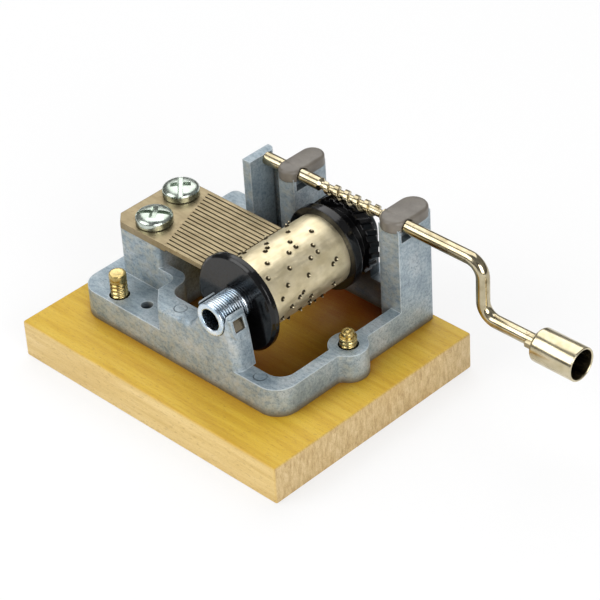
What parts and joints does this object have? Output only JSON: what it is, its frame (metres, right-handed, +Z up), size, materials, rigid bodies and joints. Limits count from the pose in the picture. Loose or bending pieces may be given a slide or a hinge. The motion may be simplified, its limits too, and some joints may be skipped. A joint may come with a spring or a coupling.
{
  "type": "music box",
  "caption": "Hand-crank music box movement on a wooden base: a bent crank turns a worm that drives a pinned drum past a steel comb.",
  "frame": {"origin": "middle of the wooden base's underside", "axes": "+X along the crank shaft towards the handle, +Y along the drum towards the crank shaft, +Z up"},
  "size_m": [0.0889, 0.0464, 0.0311],
  "materials": {
    "maple": "sanded pale maple with a thin clear coat",
    "zinc": null,
    "comb_steel": "ground steel with a brown tint",
    "nickel": "bright nickel plate",
    "brass": "bare brass",
    "cap_plastic": "taupe moulding",
    "drum_metal": "warm nickel plated sheet",
    "black_plastic": "black moulding with a shine",
    "axle_steel": "blue zinc plate",
    "nickel_rod": "warm nickel plate"
  },
  "bodies": {
    "frame": {"wood_base": "maple", "cast_frame": "zinc", "comb": "comb_steel", "comb_screw_near": "nickel", "comb_screw_far": "nickel", "base_screw_left": "brass", "base_screw_right": "brass", "shaft_cap_left": "cap_plastic", "shaft_cap_right": "cap_plastic"},
    "drum": {"drum_shell": "drum_metal", "drum_front_cap": "black_plastic", "worm_wheel": "black_plastic", "drum_axle": "axle_steel"},
    "crank": {"crank_shaft": "nickel_rod"},
    "knob": {"crank_knob": "nickel_rod"}
  },
  "joints": [
    {"name": "crank_spin", "type": "hinge", "parent": "frame", "child": "crank", "pos_m": [0, 0.0163, 0.029], "axis": [1, 0, 0], "continuous": true},
    {"name": "drum_spin", "type": "hinge", "parent": "frame", "child": "drum", "pos_m": [0.0084, 0, 0.021], "axis": [0, 1, 0], "continuous": true},
    {"name": "knob_spin", "type": "hinge", "parent": "crank", "child": "knob", "pos_m": [0.055, 0.0163, 0.019], "axis": [1, 0, 0], "continuous": true}
  ],
  "couplings": [
    {"joint": "drum_spin", "follows": "crank_spin", "ratio": -0.05}
  ]
}
